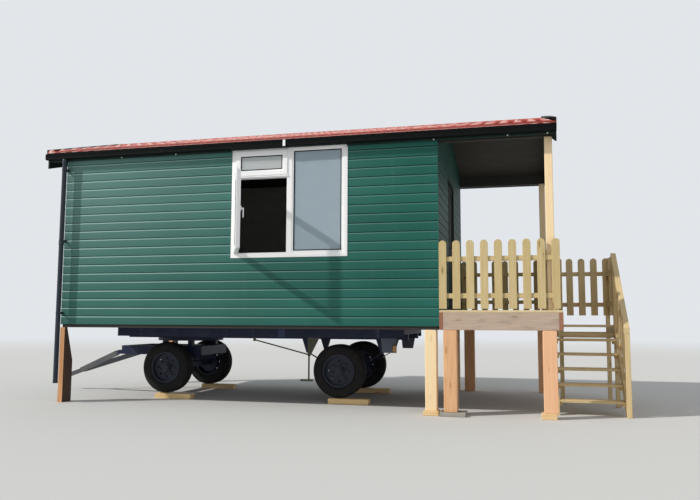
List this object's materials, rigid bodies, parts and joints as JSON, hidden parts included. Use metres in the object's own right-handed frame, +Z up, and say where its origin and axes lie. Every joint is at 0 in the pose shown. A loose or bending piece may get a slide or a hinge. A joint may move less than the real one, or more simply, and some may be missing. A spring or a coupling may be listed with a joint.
{
  "type": "shepherds hut",
  "caption": "Green boarded timber hut with a tile-effect roof, on a four-wheel wagon and timber legs, with a fenced porch and a side stair.",
  "frame": {"origin": "on the ground, in the middle of the whole object's box", "axes": "+X along the hut towards the porch, +Y towards the back wall, +Z up"},
  "size_m": [9.11, 4.3004, 4.3165],
  "materials": {
    "frame_timber": "rough sawn",
    "floor_timber": "bare boards",
    "green_boards": "painted boards",
    "white_plastic": "smooth",
    "window_glass": "clear",
    "roof_boards": "bare boards",
    "tile_sheet": "satin red coating",
    "dark_flashing": "satin",
    "dark_boards": "dark paint",
    "black_plastic": "satin",
    "pipe_plastic": "satin",
    "porch_timber": "weathered",
    "deck_timber": "weathered",
    "post_timber": "planed",
    "fence_timber": "green-tinted pine",
    "stair_timber": "weathered pine",
    "brown_timber": "weathered brown",
    "leg_timber": "planed",
    "pad_timber": "rough sawn",
    "concrete": "rough",
    "chassis_paint": "worn dark blue paint",
    "drawbar_steel": "worn paint",
    "tyre_rubber": "dusty rubber",
    "rim_paint": "worn paint"
  },
  "bodies": {
    "hut": {"floor_frame": "frame_timber", "hut_floor": "floor_timber", "front_wall": "green_boards", "back_wall": "green_boards", "left_wall": "green_boards", "right_wall": "green_boards", "window_frame": "white_plastic", "top_light_sash": "white_plastic", "open_casement": "white_plastic", "window_glass": "window_glass", "door_frame": "dark_boards", "door": "dark_boards", "roof_deck": "roof_boards", "roof_tiles_front": "tile_sheet", "roof_tiles_back": "tile_sheet", "ridge_cap": "tile_sheet", "verge_flashings": "dark_flashing", "barge_boards": "dark_boards", "fascias": "dark_boards", "gutters": "black_plastic", "downpipes": "pipe_plastic", "porch_frame": "porch_timber", "porch_deck": "deck_timber", "roof_posts": "post_timber", "eave_beams": "post_timber", "porch_front_fence": "fence_timber", "porch_side_fence": "fence_timber", "porch_back_fence": "fence_timber", "stair_stringers": "stair_timber", "stair_treads": "stair_timber", "landing": "deck_timber", "landing_posts": "stair_timber", "landing_fence": "fence_timber", "stair_railing": "fence_timber", "plank_legs": "brown_timber", "post_legs": "leg_timber", "leg_pads": "pad_timber", "leg_paver": "concrete", "wheel_planks": "pad_timber", "chassis_rails": "chassis_paint", "tail_brackets": "chassis_paint", "brake_linkage": "chassis_paint", "chassis_beams": "chassis_paint", "turntable_top": "chassis_paint", "rear_axle": "chassis_paint"},
    "bogie": {"bogie_frame": "chassis_paint", "front_axle": "chassis_paint"},
    "tow_bar": {"drawbar": "drawbar_steel"},
    "front_near_wheel": {"front_near_tyre": "tyre_rubber", "front_near_rim": "rim_paint"},
    "front_far_wheel": {"front_far_tyre": "tyre_rubber", "front_far_rim": "rim_paint"},
    "rear_near_wheel": {"rear_near_tyre": "tyre_rubber", "rear_near_rim": "rim_paint"},
    "rear_far_wheel": {"rear_far_tyre": "tyre_rubber", "rear_far_rim": "rim_paint"}
  },
  "joints": [
    {"name": "steering", "type": "hinge", "parent": "hut", "child": "bogie", "pos_m": [-2.15, 0.28925, 0.85], "axis": [0, 0, 1], "range_deg": [-30, 30]},
    {"name": "tow_bar_lift", "type": "hinge", "parent": "bogie", "child": "tow_bar", "pos_m": [-3.195, 0.28925, 0.68], "axis": [0, 1, 0], "range_deg": [0, 45]},
    {"name": "front_near_spin", "type": "hinge", "parent": "bogie", "child": "front_near_wheel", "pos_m": [-2.15, -0.47325, 0.472], "axis": [0, 1, 0], "continuous": true},
    {"name": "front_far_spin", "type": "hinge", "parent": "bogie", "child": "front_far_wheel", "pos_m": [-2.15, 1.05175, 0.472], "axis": [0, 1, 0], "continuous": true},
    {"name": "rear_near_spin", "type": "hinge", "parent": "hut", "child": "rear_near_wheel", "pos_m": [0.625, -0.47325, 0.472], "axis": [0, 1, 0], "continuous": true},
    {"name": "rear_far_spin", "type": "hinge", "parent": "hut", "child": "rear_far_wheel", "pos_m": [0.625, 1.05175, 0.472], "axis": [0, 1, 0], "continuous": true}
  ]
}
